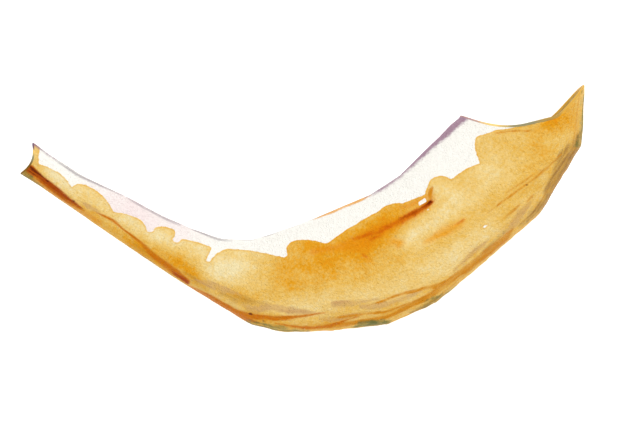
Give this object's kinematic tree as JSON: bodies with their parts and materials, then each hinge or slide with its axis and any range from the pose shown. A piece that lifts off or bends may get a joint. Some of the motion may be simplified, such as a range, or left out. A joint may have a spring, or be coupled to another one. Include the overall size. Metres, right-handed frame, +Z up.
{
  "type": "blowing horn",
  "caption": "Natural ram's horn blowing horn: a hollow curved horn with a drilled, cupped mouthpiece end and a flared bell, lying on its flat side.",
  "frame": {"origin": "centre of the horn's box in plan, on the flat side that it lies on", "axes": "+X from the mouthpiece end to the bell, +Y the way the bell opens, +Z up from the flat side to the rounded back"},
  "size_m": [0.293, 0.1284, 0.042],
  "materials": {
    "horn": "satin"
  },
  "bodies": {
    "root": {"horn": "horn"}
  },
  "joints": []
}
